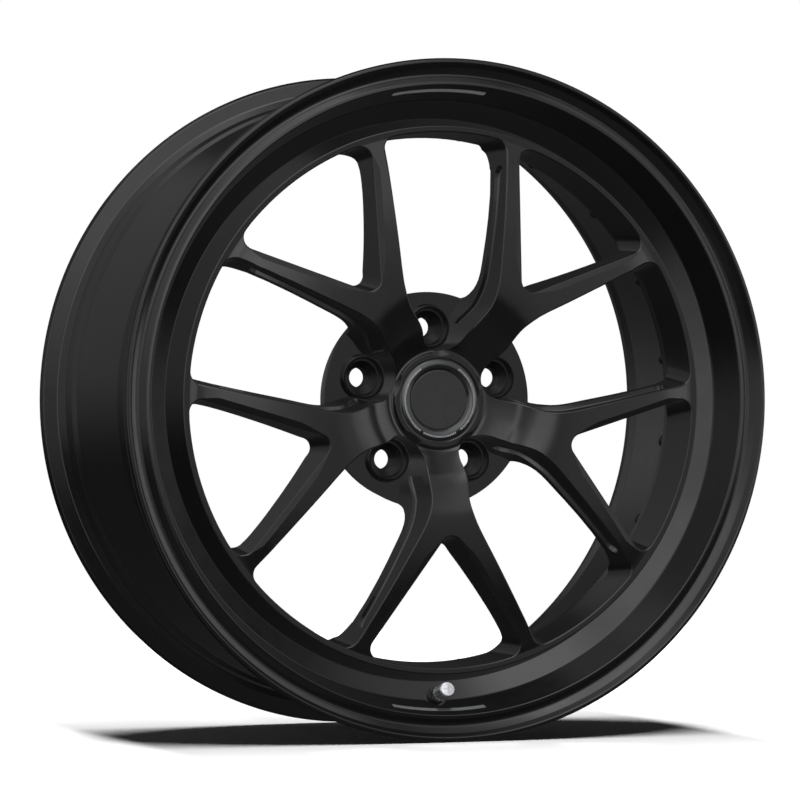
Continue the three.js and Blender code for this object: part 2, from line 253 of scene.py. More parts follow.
def lofted(rings, into=None):
    """Extrudes the first ring of points through the others and closes both ends."""
    bm = bmesh.new()
    ring = [bm.verts.new(p) for p in rings[0]]
    bm.faces.new(ring)
    for places in rings[1:]:
        edges = [bm.edges.get((a, b)) for a, b in zip(ring, ring[1:] + ring[:1])]
        edges = [e or bm.edges.new((ring[-1], ring[0])) for e in edges]
        made = bmesh.ops.extrude_edge_only(bm, edges=edges)["geom"]
        fresh = {v.co.to_tuple(8): v for v in made if isinstance(v, bmesh.types.BMVert)}
        ring = [fresh[v.co.to_tuple(8)] for v in ring]
        for vertex, place in zip(ring, places):
            vertex.co = place
    bm.faces.new(ring)
    bmesh.ops.recalc_face_normals(bm, faces=bm.faces)
    return merged(bm, into)


def tool(bm, name="tool"):
    """A scene object that only cuts or joins another one."""
    mesh = bpy.data.meshes.new(name)
    bm.to_mesh(mesh)
    bm.free()
    made = bpy.data.objects.new(name, mesh)
    bpy.context.scene.collection.objects.link(made)
    return made


def worked(bm, steps):
    """Applies (operation, tool mesh) steps to a solid, and gives the mesh that is left."""
    piece = tool(bm, "stock")
    tools = []
    for operation, shape in steps:
        modifier = piece.modifiers.new(operation.lower(), "BOOLEAN")
        modifier.operation = operation
        modifier.solver = "MANIFOLD"
        tools.append(tool(shape))
        modifier.object = tools[-1]
    bpy.context.view_layer.update()
    seen = piece.evaluated_get(bpy.context.evaluated_depsgraph_get())
    left = bmesh.new()
    left.from_mesh(seen.to_mesh())
    seen.to_mesh_clear()
    for used in (piece, *tools):
        mesh = used.data
        bpy.data.objects.remove(used)
        bpy.data.meshes.remove(mesh)
    bmesh.ops.remove_doubles(left, verts=left.verts, dist=2e-7)
    bmesh.ops.dissolve_degenerate(left, dist=2e-7, edges=left.edges)
    return left


SHARP_TURN = math.radians(34)


def piece(name, bm, nodes, slot, material, body=WHEEL, sharp=SHARP_TURN):
    """Makes the finished object, which stands for CAD nodes and rides on a body."""
    mesh = bpy.data.meshes.new(name)
    bm.to_mesh(mesh)
    bm.free()
    creased = [edge.index for edge in mesh.edges if edge.use_edge_sharp]
    mesh.shade_smooth()
    mesh.set_sharp_from_angle(angle=sharp)
    for index in creased:
        mesh.edges[index].use_edge_sharp = True
    mesh.materials.append(material)
    made = bpy.data.objects.new(name, mesh)
    bpy.context.scene.collection.objects.link(made)
    weighted = made.modifiers.new("even shading", "WEIGHTED_NORMAL")
    weighted.keep_sharp = True
    weighted.weight = 50
    made.visible_glossy = False
    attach(made, body)
    if nodes:
        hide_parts(*nodes)
    return made


# ---- materials ----
class Finish:
    """A material under construction, whose patterns use the object's own coordinates."""

    def __init__(self, name, colour, metallic, roughness, **sockets):
        self.material = bpy.data.materials.new(name)
        self.material.use_nodes = True
        self.tree = self.material.node_tree
        self.shader = self.tree.nodes["Principled BSDF"]
        self.shader.inputs["Base Color"].default_value = (*colour, 1)
        self.shader.inputs["Metallic"].default_value = metallic
        self.shader.inputs["Roughness"].default_value = roughness
        for socket, value in sockets.items():
            self.shader.inputs[socket.replace("_", " ")].default_value = value
        self.place = self.node("ShaderNodeTexCoord").outputs["Object"]

    def node(self, kind, **settings):
        made = self.tree.nodes.new(kind)
        for name, value in settings.items():
            setattr(made, name, value)
        return made

    def join(self, start, end):
        self.tree.links.new(start, end)

    def noise(self, scale, detail=3.0, roughness=0.5, stretch=None):
        """Noise with this many features to the metre."""
        made = self.node("ShaderNodeTexNoise")
        made.inputs["Scale"].default_value = scale
        made.inputs["Detail"].default_value = detail
        made.inputs["Roughness"].default_value = roughness
        source = self.place
        if stretch:
            mapping = self.node("ShaderNodeMapping")
            mapping.inputs["Scale"].default_value = stretch
            self.join(source, mapping.inputs["Vector"])
            source = mapping.outputs["Vector"]
        self.join(source, made.inputs["Vector"])
        return made.outputs["Fac"]

    def spread(self, factor, low, high):
        """Takes a 0 to 1 pattern's middle to the range from low to high."""
        made = self.node("ShaderNodeMapRange")
        made.inputs["From Min"].default_value = 0.3
        made.inputs["From Max"].default_value = 0.7
        made.inputs["To Min"].default_value = low
        made.inputs["To Max"].default_value = high
        self.join(factor, made.inputs["Value"])
        return made.outputs["Result"]

    def vary_roughness(self, scale, low, high, **noise):
        self.join(self.spread(self.noise(scale, **noise), low, high), self.shader.inputs["Roughness"])

    def vary_colour(self, scale, first, second, **noise):
        ramp = self.node("ShaderNodeMix", data_type="RGBA")
        colours = [s for s in ramp.inputs if s.type == "RGBA"]
        colours[0].default_value = (*first, 1)
        colours[1].default_value = (*second, 1)
        self.join(self.spread(self.noise(scale, **noise), 0.0, 1.0), ramp.inputs["Factor"])
        result = next(s for s in ramp.outputs if s.type == "RGBA")
        self.join(result, self.shader.inputs["Base Color"])

    def bump(self, height, distance_mm, before=None):
        """Raises the surface by a pattern, on top of an earlier bump."""
        made = self.node("ShaderNodeBump")
        made.inputs["Strength"].default_value = 1.0
        made.inputs["Distance"].default_value = distance_mm * MM
        self.join(height, made.inputs["Height"])
        if before:
            self.join(before, made.inputs["Normal"])
        self.join(made.outputs["Normal"], self.shader.inputs["Normal"])
        return made.outputs["Normal"]

    def wheel_radius(self):
        """Distance from the wheel's axis, in metres."""
        split = self.node("ShaderNodeSeparateXYZ")
        self.join(self.place, split.inputs[0])
        across = self.node("ShaderNodeCombineXYZ")
        self.join(split.outputs["X"], across.inputs["X"])
        self.join(split.outputs["Z"], across.inputs["Z"])
        length = self.node("ShaderNodeVectorMath", operation="LENGTH")
        self.join(across.outputs[0], length.inputs[0])
        return length.outputs["Value"]


def coated_alloy(colour, roughness, name="satin_black_coat", sheen=0.5):
    """Forged alloy under a satin powder coat, with its faint orange peel."""
    f = Finish(name, colour, 0.0, roughness, Specular_IOR_Level=sheen)
    f.vary_colour(14, [c * 0.8 for c in colour], [c * 1.25 for c in colour])
    f.vary_roughness(90, roughness - 0.025, roughness + 0.025, detail=5.0)
    peel = f.bump(f.noise(420, detail=1.0), 0.006)
    f.bump(f.noise(2600, detail=2.0), 0.0012, peel)
    return f.material


def machined_steel(name, colour, roughness):
    """Plated steel with fine turning marks and slight staining."""
    f = Finish(name, colour, 1.0, roughness)
    f.vary_colour(240, [c * 0.75 for c in colour], colour, detail=4.0)
    f.vary_roughness(600, roughness - 0.08, roughness + 0.08, detail=4.0)
    f.bump(f.noise(2200, detail=2.0, stretch=(1, 6, 1)), 0.004)
    return f.material


def moulded_rubber():
    f = Finish("black_rubber", (0.010, 0.010, 0.011), 0.0, 0.7)
    f.vary_roughness(500, 0.6, 0.8, detail=4.0)
    f.bump(f.noise(1800, detail=3.0), 0.02)
    return f.material


def moulded_plastic(name, colour, roughness):
    """Fine-grained moulded plastic."""
    f = Finish(name, colour, 0.0, roughness)
    f.vary_colour(60, [c * 0.85 for c in colour], [c * 1.15 for c in colour])
    f.vary_roughness(700, roughness - 0.05, roughness + 0.05, detail=4.0)
    f.bump(f.noise(3200, detail=2.0), 0.006)
    return f.material


def spun_metal(name, colour, roughness):
    """Anodised metal with concentric turning marks about the wheel's axis."""
    f = Finish(name, colour, 1.0, roughness)
    rings = f.node("ShaderNodeTexNoise", noise_dimensions="1D")
    rings.inputs["Scale"].default_value = 5200
    rings.inputs["Detail"].default_value = 2.0
    f.join(f.wheel_radius(), rings.inputs["W"])
    f.bump(rings.outputs["Fac"], 0.0025)
    f.vary_roughness(900, roughness - 0.04, roughness + 0.04, detail=3.0)
    return f.material


def bright_metal(name, colour, roughness):
    f = Finish(name, colour, 1.0, roughness)
    f.vary_roughness(1500, roughness - 0.06, roughness + 0.06, detail=3.0)
    f.bump(f.noise(3800, detail=2.0), 0.002)
    return f.material


def printed_stripe(colour):
    """Matte grey ink, a little uneven."""
    f = Finish("stripe_ink", colour, 0.0, 0.5)
    f.vary_colour(160, [c * 0.85 for c in colour], colour, detail=4.0)
    f.vary_roughness(900, 0.42, 0.58)
    f.bump(f.noise(2400, detail=2.0), 0.003)
    return f.material


FINISHES = {}


def make_finishes(looks):
    black = tuple(looks.coat_colour)
    FINISHES["coat"] = coated_alloy(black, looks.coat_roughness)
    # A duller, less reflective copy of the coat: painted shade for the floors and walls of the pockets.
    FINISHES["thin_coat"] = coated_alloy(black, looks.coat_roughness + 0.15, "painted_shade_coat", 0.13)
    FINISHES["rubber"] = moulded_rubber()
    FINISHES["plastic"] = moulded_plastic("cap_plastic", (0.008, 0.008, 0.0085), 0.46)
    FINISHES["plate"] = moulded_plastic("cap_plate_plastic", tuple(looks.plate_colour), 0.55)
    FINISHES["seat"] = machined_steel("seat_steel", (0.022, 0.022, 0.023), 0.42)
    FINISHES["bolt"] = machined_steel("bolt_steel", (0.02, 0.02, 0.021), 0.42)
    FINISHES["spring"] = machined_steel("spring_steel", (0.35, 0.35, 0.36), 0.3)
    FINISHES["cap_ring"] = spun_metal("cap_ring_metal", tuple(looks.ring_colour), 0.22)
    FINISHES["tick"] = printed_stripe((0.75, 0.76, 0.78))
    FINISHES["bright"] = bright_metal("valve_bright", (0.62, 0.63, 0.65), 0.24)
    FINISHES["valve_black"] = bright_metal("valve_black", (0.02, 0.02, 0.021), 0.35)
    FINISHES["brass"] = bright_metal("valve_brass", (0.52, 0.38, 0.16), 0.32)
    FINISHES["stripe"] = printed_stripe(tuple(looks.stripe_colour))


# ---- centre disc ----
def disc_stock():
    hub = [
        (31.7, 27.7), (32.4, 27.0), (36.1, 27.0, 0.5), (37.0, 30.1, 0.5),
        (38.6, 30.5, 1.2), (40.0, 29.2),
    ]
    rim = [(203, RING_FACE_DEPTH, 6.0), (208.2, RING_FACE_DEPTH, 0.9), (214.6, 40, 0.4), (214.6, 57, 0.4)]
    pad = [
        (80.9, 66), (80.4, 73.8, 0.6), (79.2, 75, 0.6), (37.6, 75), (36.55, 74),
        (36.55, 61.2), (31.7, 61.2),
    ]
    corners = [*hub, *SPOKE_FACE, *rim, *reversed(SPOKE_BACK), *pad]
    return turned(rounded(corners), LARGE_STEPS, wheel_place())


FLARE_TURNS = [66, 48, 30, 14, 0]
FLARE_REACH = 4.0


def drafted(front, back, depth):
    """Where an outline's points are at a depth each, on the draft's straight lines."""
    return [
        a + (b - a) * ((d - DRAFT_NEAR) / (DRAFT_FAR - DRAFT_NEAR))
        for a, b, d in zip(front, back, depth)
    ]


def opening(front, back, angle, edge, floor, into):
    """A tool for an opening whose front and rear edges come out rounded."""
    out = sideways(front)
    near = [face_depth(p.length) for p in front]
    far = [min(back_depth(p.length), floor - edge - 2) for p in back]
    soft = [min(1.0, max(0.0, (floor - 7 - f) / 6)) for f in far]
    rings = []

    def ring(depths, offsets, level=None):
        points = drafted(front, back, depths)
        rings.append([
            polar(angle, *(p + n * o), d if level is None else level)
            for p, n, o, d in zip(points, out, offsets, depths)
        ])

    steep = math.radians(FLARE_TURNS[0])
    mouth = edge * (1 - math.cos(steep)) + FLARE_REACH * math.sin(steep)
    lift = edge * (1 - math.sin(steep)) - FLARE_REACH * math.cos(steep)
    ring([d + lift for d in near], [mouth] * len(front), -12)
    ring([d + lift for d in near], [mouth] * len(front))
    for turn in map(math.radians, FLARE_TURNS):
        ring([d + edge * (1 - math.sin(turn)) for d in near], [edge * (1 - math.cos(turn))] * len(front))
    for turn in map(math.radians, reversed(FLARE_TURNS)):
        ring(
            [d - edge * (1 - math.sin(turn)) for d in far],
            [edge * s * (1 - math.cos(turn)) for s in soft],
        )
    ring([d - lift * 0.5 for d in far], [mouth * 0.5 * s for s in soft])
    ring([floor] * len(front), [mouth * 0.5 * s for s in soft])
    return lofted(rings, into)


def ring_side(radius, across):
    """The stretch of an opening that follows the outer ring, from +across to -across."""
    half = math.degrees(math.asin(across / radius)) * 0.72
    return [(*p,) for p in arc(radius, half, -half, 14)]


def fork_outline(apex, apex_round, reach, across, radius):
    return rounded(
        [(apex, 0, apex_round), (reach, across, 9), *ring_side(radius, across), (reach, -across, 9)], 8
    )


def spoke_gap_outline(side, corner, radius, lug_round=18.4):
    """The wide opening between two spokes, joined to the recess round a lug hole."""
    scallop = arc(lug_round, 240, 120, 16, (LUG_CIRCLE, 0))
    flank = flowing([scallop[-1], *side], 3)[1:]
    mirrored = [(p[0], -p[1]) for p in reversed(flank)]
    return rounded(
        [
            *scallop, *flank, (*corner, 9), *ring_side(radius, corner[1]),
            (corner[0], -corner[1], 9), *mirrored,
        ], 8
    )


GAP_SIDE_NEAR = [(57.5, 22.9), (70.7, 31.9), (83.5, 36.3), (95.9, 38.7), (122.4, 41.8), (174.4, 48.3)]
GAP_SIDE_FAR = [(59.6, 20), (72.6, 28.6), (84.6, 32.4), (97.3, 35.1), (123.6, 37.9), (175.4, 44.5)]
LEG_NEAR = [
    (40, 15.2), (76, 15.8), (88.4, 19.5), (100.3, 25.1), (123.6, 38.1), (146.5, 51.3),
    (169.5, 63.5), (185, 71.8),
]
LEG_FAR = [
    (40, 18.6), (76, 20.2), (87.4, 23.5), (99.3, 28.8), (122.3, 42), (145.2, 54.8),
    (168.1, 67.1), (185, 76.1),
]
SLOT_TOP = flowing([(60, 19), (70, 12.8), (84, 7.4), (100, 6), (123, 7), (146, 9.4), (174, 14.4)], 3)
SLOT_BOTTOM = flowing([(60, 43), (70, 36), (84, 30), (100, 26.4), (123, 24.2), (146, 24), (174, 28)], 3)
SLOT_START = 58.0
SLOT_END = 172.5
SLOT_DEEP = 4.2


def leg_wall(along, depth):
    """Half width of a forked spoke, at a distance along its middle and a depth."""
    near = value_at(LEG_NEAR, along)
    far = value_at(LEG_FAR, along)
    return near + (far - near) * (depth - DRAFT_NEAR) / (DRAFT_FAR - DRAFT_NEAR)


def leg_slot(angle, side, into):
    """A tool for the long pocket in one side of a spoke, with a round outer end."""
    stations = [SLOT_START + 4.5 * k for k in range(24)]
    end_run = 8.5
    stations = [u for u in stations if u < SLOT_END - end_run]
    stations += [SLOT_END - end_run * (1 - math.sin(math.radians(t))) for t in range(0, 90, 12)]
    rings = []
    for along in stations:
        top, bottom = value_at(SLOT_TOP, along), value_at(SLOT_BOTTOM, along)
        middle, half = (top + bottom) / 2, (bottom - top) / 2
        spare = max(0.0, 1 - (SLOT_END - along) / end_run)
        half *= math.sqrt(max(0.0, 1 - spare**2))
        slope = (leg_wall(along + 2, middle) - leg_wall(along - 2, middle)) / 4
        out = Vector((-slope, 1)).normalized()
        deep = SLOT_DEEP
        soft = min(1.4, half * 0.6)
        section = rounded([(6, -half), (6, half), (-deep, half, soft), (-deep, -half, soft)], 4)
        ring = []
        for sunk, drop in section:
            depth = middle + drop
            place = Vector((along, leg_wall(along, depth))) + out * sunk
            ring.append(polar(angle, place.x, side * place.y, depth))
        rings.append(ring)
    return lofted(rings, into)


def paint_hollow_shade(bm):
    """Marks the floors and walls of the leg pockets and lug pockets for a duller, less reflective copy of the
    coat, which paints shade into these hollows.
    """
    for face in bm.faces:
        middle = face.calc_center_median() / MM
        depth = middle.y - FACE_Y / MM
        for lug in LUG_ANGLES:
            centre = polar(lug, LUG_CIRCLE, 0, 0) / MM
            away = math.hypot(middle.x - centre.x, middle.z - centre.z)
            if away < 16.2 and depth > 51.5:
                face.material_index = 1
        turn = math.degrees(math.atan2(middle.z, middle.x))
        reach = math.hypot(middle.x, middle.z)
        for spoke in SPOKE_ANGLES:
            off = math.radians((turn - spoke + 180) % 360 - 180)
            along, aside = reach * math.cos(off), reach * abs(math.sin(off))
            if SLOT_START < along < SLOT_END and aside < 90:
                sunk = leg_wall(along, depth) - aside
                within = value_at(SLOT_TOP, along) < depth < value_at(SLOT_BOTTOM, along)
                if within and 0.7 < sunk < SLOT_DEEP + 0.6:
                    face.material_index = 1


def crease_face_edges(bm):
    """Keeps the spoke face's shading apart from the rounded edges of the openings."""
    bm.normal_update()
    on_face = {}
    for face in bm.faces:
        middle = face.calc_center_median() / MM
        reach = math.hypot(middle.x, middle.z)
        slope = (face_depth(reach + 0.4) - face_depth(reach - 0.4)) / 0.8
        out = Vector((middle.x / reach, 0, middle.z / reach)) * slope
        on_face[face] = face.normal.angle(out + Vector((0, -1, 0)), 1.0) < math.radians(4.5)
    for edge in bm.edges:
        sides = [on_face[face] for face in edge.link_faces]
        if len(sides) == 2 and sides[0] != sides[1]:
            edge.smooth = False


def build_disc(sizes):
    edge = sizes.window_edge
    gaps, forks, slots = bmesh.new(), bmesh.new(), bmesh.new()
    gap_near = spoke_gap_outline(GAP_SIDE_NEAR, (197.6, 51.6), 204.2)
    gap_far = spoke_gap_outline(GAP_SIDE_FAR, (196.9, 47.4), 202.6)
    fork_near = fork_outline(97.5, 8.8, 192.8, 67.2, 204.2)
    fork_far = fork_outline(103.6, 7.3, 192.2, 64.2, 202.6)
    for lug in LUG_ANGLES:
        opening(gap_near, gap_far, lug, edge, PAD_DEPTH, gaps)
    for spoke in SPOKE_ANGLES:
        opening(fork_near, fork_far, spoke, edge, 62, forks)
        for side in (1, -1):
            leg_slot(spoke, side, slots)
    rims = bmesh.new()
    for lug in LUG_ANGLES:
        half = 14.2
        sector = [*arc(196, -half, half, 12), *arc(204.2 - 3.2, half, -half, 12)]
        lofted([[polar(lug, p.x, p.y, d) for p in sector] for d in (50, 62)], rims)
    collars, pockets, bores = bmesh.new(), bmesh.new(), bmesh.new()
    collar = rounded([(0, 58), (18, 58), (17.9, 55), (16.4, 50, 0.8), (0, 50)], 4)
    pocket = rounded([(0, 44), (15.5, 44), (15.3, 49.7), (14.3, 50.7), (14.3, 66.3, 1.2), (0, 66.3)], 4)
    bore = [(0, 60), (7.6, 60), (7.6, 74.2), (9.2, 75.8), (9.2, 80), (0, 80)]
    for lug in LUG_ANGLES:
        place = wheel_place(lug, LUG_CIRCLE)
        turned(collar, SMALL_STEPS, place, collars)
        turned(pocket, SMALL_STEPS, place, pockets)
        turned(bore, SMALL_STEPS, place, bores)
    holes = bmesh.new()
    for i in range(BOLTS):
        place = wheel_place(360 / BOLTS * (i + 0.5), BOLT_CIRCLE)
        turned([(0, 43), (3.7, 45), (3.7, 60), (0, 60)], 24, place, holes)
    disc = worked(disc_stock(), [
        ("DIFFERENCE", gaps), ("DIFFERENCE", forks), ("DIFFERENCE", slots),
        ("UNION", collars), ("DIFFERENCE", pockets), ("DIFFERENCE", bores),
        ("DIFFERENCE", holes), ("DIFFERENCE", rims),
    ])
    # Paints shade into the pockets' floors and walls by giving them the duller coat.
    paint_hollow_shade(disc)
    crease_face_edges(disc)
    made = piece("disc", disc, ["centre_disc"], "forged_alloy", FINISHES["coat"])
    # The second material is the painted shade of the marked hollows.
    made.data.materials.append(FINISHES["thin_coat"])


# ---- rims ----
def bolt_holes(depth, through):
    holes = bmesh.new()
    for i in range(BOLTS):
        place = wheel_place(360 / BOLTS * (i + 0.5), BOLT_CIRCLE)
        turned([(0, depth), (3.8, depth), (3.8, through), (0, through)], 24, place, holes)
    return holes


def valve_cut(radius, low, high):
    return turned([(0, low), (radius, low), (radius, high), (0, high)], 48, valve_place())


OUTER_RIM = [
    (258.6, 0, 1.4), (257.4, -3, 1.2), (254.9, -4, 1.2), (252.2, 2.1, 2.5), (245.7, 9, 2.0),
    (244.6, 5, 2.0), (241, 1.2, 1.4), (238.4, 0.6, 0.9), (228.9, 30.6, 3.0), (214.95, 39.9, 0.6),
    (214.95, 57.3, 0.3), (202.4, 57.3, 0.4), (202.4, 61.5, 0.4), (219.6, 61.5), (222.5, 58.6, 0.8),
    (222.5, 49, 4.0), (236, 37.5, 4.0), (240.4, 32, 2.5), (240, 26, 3.0), (241.3, 14, 1.5),
    (244, 11, 1.2), (252, 10, 4.0), (257.6, 5, 2.5),
]
INNER_RIM = [
    (219.6, 61.8), (202.4, 61.8, 0.4), (202.4, 66, 0.6), (213.5, 66, 1.2), (215.6, 70, 2.0),
    (215.8, 96, 6.0), (230.4, 188, 8.0), (234.6, 198, 4.0), (235.4, 214, 6.0), (240.6, 233.2, 2.0),
    (254.9, 236.4, 1.0), (257.4, 235.4, 0.8), (258.6, 232.4, 1.6), (256.8, 228, 2.0),
    (246.3, 224.6, 4.0), (241.3, 219, 3.0), (239.6, 207, 2.5), (240.6, 203, 1.5), (237.6, 199.5, 2.5),
    (228, 122, 8.0), (222.6, 96, 8.0), (222.5, 64.4, 0.8),
]


def build_rims():
    outer = worked(turned(rounded(OUTER_RIM, 4), LARGE_STEPS, wheel_place()), [
        ("DIFFERENCE", bolt_holes(54, 64)),
        ("DIFFERENCE", valve_cut(8.4, 0, 22)),
        ("DIFFERENCE", valve_cut(9.4, -30, -10)),
        ("DIFFERENCE", valve_cut(6.1, -20, 10)),
    ])
    piece("outer_rim_half", outer, ["outer_rim"], "forged_alloy", FINISHES["coat"])
    inner = worked(turned(rounded(INNER_RIM, 4), LARGE_STEPS, wheel_place()), [
        ("DIFFERENCE", bolt_holes(60, 68)),
    ])
    piece("inner_rim_half", inner, ["inner_rim"], "forged_alloy", FINISHES["coat"])
    seal = rounded([
        (219.9, 61.62), (219.9, 61.68), (222.2, 63.7, 0.5), (222.6, 61.6, 1.2), (222.2, 59.4, 0.5),
    ], 4)
    piece(
        "rim_sealant", turned(seal, LARGE_STEPS, wheel_place()), ["rim_seal"], "black_rubber",
        FINISHES["rubber"],
    )


# ---- bolts, seats, hub ring ----
def hex_prism(across_flats, low, high):
    corner = across_flats / math.sqrt(3)
    outline = arc(corner, 0, 300, 5)
    return lofted([[Vector((p.x, p.y, h)) * MM for p in outline] for h in (low, high)])


def build_bolts():
    """A socket cap bolt at each place on the bolt circle."""
    head = [
        (0, 45), (2.6, 45), (3.3, 45.8), (3.3, 66.3, 0.2), (5.1, 66.3, 0.2), (5.4, 66.7), (5.4, 72, 0.3),
        (4.9, 72.9, 0.3), (0, 72.9),
    ]
    socket = hex_prism(5.0, 69.2, 74)
    stock = worked(turned(rounded(head, 3), 40), [("DIFFERENCE", socket)])
    for i in range(BOLTS):
        name = f"{i + 1:02d}"
        bolt = stock.copy()
        place = wheel_place(360 / BOLTS * (i + 0.5), BOLT_CIRCLE)
        bmesh.ops.transform(bolt, matrix=place, verts=bolt.verts)
        piece(f"rim_bolt_{name}", bolt, [f"assembly_bolt_{name}"], "bolt_steel", FINISHES["bolt"])
    stock.free()


def build_seats():
    """A conical steel seat pressed into each lug pocket."""
    seat = [
        (7.6, 65.8), (8.0, 66), (13.6, 66), (13.8, 65.6), (13.8, 56.3), (13.4, 55.9, 0.2),
        (12.7, 55.9, 0.2), (7.6, 62.4, 0.4),
    ]
    for i, lug in enumerate(LUG_ANGLES):
        name = i + 1
        bm = turned(rounded(seat, 3), SMALL_STEPS, wheel_place(lug, LUG_CIRCLE))
        piece(f"seat_{name}", bm, [f"lug_seat_{name}"], "seat_steel", FINISHES["seat"])


def build_hub_ring():
    outline = rounded([
        (33.3, 61.6, 0.3), (36.2, 61.6, 0.3), (36.2, 73.8, 0.3), (35.6, 74.4, 0.3), (34.2, 74.4, 0.3),
        (33.3, 73, 0.3),
    ], 3)
    ring = turned(outline, 96, wheel_place())
    piece("hub_centring_ring", ring, ["hub_ring"], "black_plastic", FINISHES["plastic"])


# ---- centre cap ----
CAP = "centre_cap"


TICK_ARCS = [(-52, 56), (124, 236), (243, 297)]  # degrees round the ring
TICK_STEP = 3.0
TICK_RADII = (27.3, 28.7)


def tick(angle, into):
    """One short plain mark standing a hair proud of the cap's ring."""
    inner, outer = TICK_RADII
    outline = [(inner, -0.24), (outer, -0.24), (outer, 0.24), (inner, 0.24)]
    lofted([[polar(angle, *p, d) for p in outline] for d in (27.27, 27.9)], into)


def build_cap():
    place = wheel_place()
    body = turned(rounded([
        (0, 30.9), (31.0, 30.9, 0.3), (31.2, 33.2, 0.3), (29.4, 34.4, 0.4), (29.4, 42, 0.3), (31.2, 43.4, 0.5),
        (29.4, 46.2, 0.3), (27.4, 46.2, 0.3), (27.4, 35.4, 0.5), (0, 35.4),
    ], 3), 120, place)
    slits = bmesh.new()
    for i in range(8):
        angle = 22.5 + 45 * i
        box = [(26, -1.4), (33, -1.4), (33, 1.4), (26, 1.4)]
        lofted([[polar(angle, *p, d) for p in box] for d in (37, 48)], slits)
    shell = worked(body, [("DIFFERENCE", slits)])
    piece("cap_shell", shell, ["cap_body"], "black_plastic", FINISHES["plastic"], CAP)
    ring = rounded([
        (23.1, 30.6), (23.1, 29.6, 0.2), (24.5, 27.9, 0.5), (27.3, 27.3, 4.0), (30.2, 28.0, 0.8),
        (31.1, 29.0, 0.5), (31.1, 30.6),
    ], 5)
    piece("cap_trim_ring", turned(ring, 144, place), ["cap_ring"], "cap_metal", FINISHES["cap_ring"], CAP)
    marks = bmesh.new()
    for first, last in TICK_ARCS:
        for i in range(int((last - first) / TICK_STEP) + 1):
            tick(first + TICK_STEP * i, marks)
    piece("cap_ring_marks", marks, [], "stripe_paint", FINISHES["tick"], CAP)
    plate = turned(
        rounded([(0, 29.4), (22.0, 29.4, 0.4), (22.8, 30.0, 0.3), (22.8, 30.6), (0, 30.6)], 3), 120, place,
    )
    petals = bmesh.new()
    for i in range(5):
        petal = rounded([(6.5, -1.8, 1.6), (18.5, -5.6, 2.4), (18.5, 5.6, 2.4), (6.5, 1.8, 1.6)], 6)
        lofted([[polar(90 + 72 * i, *p, d) for p in petal] for d in (29.0, 30.0)], petals)
    piece(
        "cap_centre_plate", worked(plate, [("UNION", petals)]), ["cap_plate"], "black_plastic",
        FINISHES["plate"], CAP,
    )
    wire = turned([(*p,) for p in arc(0.72, 0, 330, 11, (26.3, 41.0))], 96, place)
    piece("cap_spring_ring", wire, ["cap_spring"], "bolt_steel", FINISHES["spring"], CAP)


# ---- valve ----
VALVE_CAP = "valve_cap"


def build_valve():
    place = valve_place()
    stem = rounded([
        (2.6, -15), (7.8, -15, 0.3), (8.2, -14.4, 0.2), (8.2, -12.6, 0.3), (4, -12.3, 0.3), (4, 12.2, 0.2),
        (3.6, 12.6, 0.2), (3.6, 13.2, 0.2), (4, 13.6, 0.2), (4, 26.3, 0.2), (3.6, 26.8, 0.1), (2.6, 26.8),
    ], 2)
    piece("stem_tube", turned(stem, 48, place), ["valve_stem"], "valve_black", FINISHES["valve_black"])
    grommet = rounded([
        (4.3, -9.4), (5.6, -9.4, 0.4), (5.6, 0.3, 0.1), (6.9, 0.3, 0.3), (6.9, 1.4, 0.5), (6.2, 2.5, 0.5),
        (4.3, 2.5),
    ], 4)
    grommet = turned(grommet, SMALL_STEPS, place)
    piece("stem_grommet", grommet, ["valve_grommet"], "black_rubber", FINISHES["rubber"])
    seal = rounded([(4.3, -12), (8, -12, 0.6), (8, -10.3, 0.6), (4.3, -10.3)], 4)
    piece("stem_seal", turned(seal, 48, place), ["valve_seal"], "black_rubber", FINISHES["rubber"])
    washer = rounded([(4.3, 2.8), (6.8, 2.8, 0.2), (6.8, 4, 0.3), (4.3, 4)], 3)
    washer = turned(washer, SMALL_STEPS, place)
    piece("stem_washer", washer, ["valve_washer"], "valve_black", FINISHES["valve_black"])
    nut = turned(rounded([
        (4.3, 4.3), (6.8, 4.3, 0.1), (6.8, 5.3, 0.2), (5.5, 6.0, 0.2), (5.5, 9.2), (4.3, 9.2),
    ], 2), 48)
    flats = hex_prism(11.0, 5.3, 9.2)
    dome = turned(rounded([(0, 3), (9, 3), (9, 8.0), (5.4, 9.25), (0, 9.25)], 2), 48)
    flats = worked(flats, [("INTERSECT", dome)])
    bore = turned([(0, 3), (4.3, 3), (4.3, 12), (0, 12)], 48)
    nut = worked(nut, [("UNION", flats), ("DIFFERENCE", bore)])
    bmesh.ops.transform(nut, matrix=place, verts=nut.verts)
    piece("stem_nut", nut, ["valve_nut"], "valve_black", FINISHES["valve_black"])
    shell = turned(rounded([
        (0, 13.4), (5.9, 13.4, 0.3), (6.0, 15.0, 0.3), (6.0, 28.9, 0.6), (5.2, 30.4, 0.5), (0, 30.8),
    ], 3), 80)
    cuts = bmesh.new()
    for i in range(16):
        turns = [k * math.pi / 4 for k in range(8)]
        groove = [(6.25 + 0.55 * math.cos(a), 0.55 * math.sin(a)) for a in turns]
        turn = Matrix.Rotation(2 * math.pi * i / 16, 2)
        lofted([
            [Vector((*(turn @ Vector(p)), h)) * MM for p in groove] for h in (15.6, 28.2)
        ], cuts)
    cross = bmesh.new()
    for turn in (0, math.pi / 2):
        spin = Matrix.Rotation(turn, 2)
        bar = [(-3.6, -0.55), (3.6, -0.55), (3.6, 0.55), (-3.6, 0.55)]
        lofted([[Vector((*(spin @ Vector(p)), h)) * MM for p in bar] for h in (29.9, 32)], cross)
    bore = turned([(0, 12), (4.4, 12), (4.4, 28.4), (0, 28.4)], 48)
    shell = worked(shell, [("DIFFERENCE", cuts), ("DIFFERENCE", bore), ("DIFFERENCE", cross)])
    bmesh.ops.transform(shell, matrix=place, verts=shell.verts)
    piece("stem_cap", shell, ["valve_cap"], "valve_bright", FINISHES["bright"], VALVE_CAP)


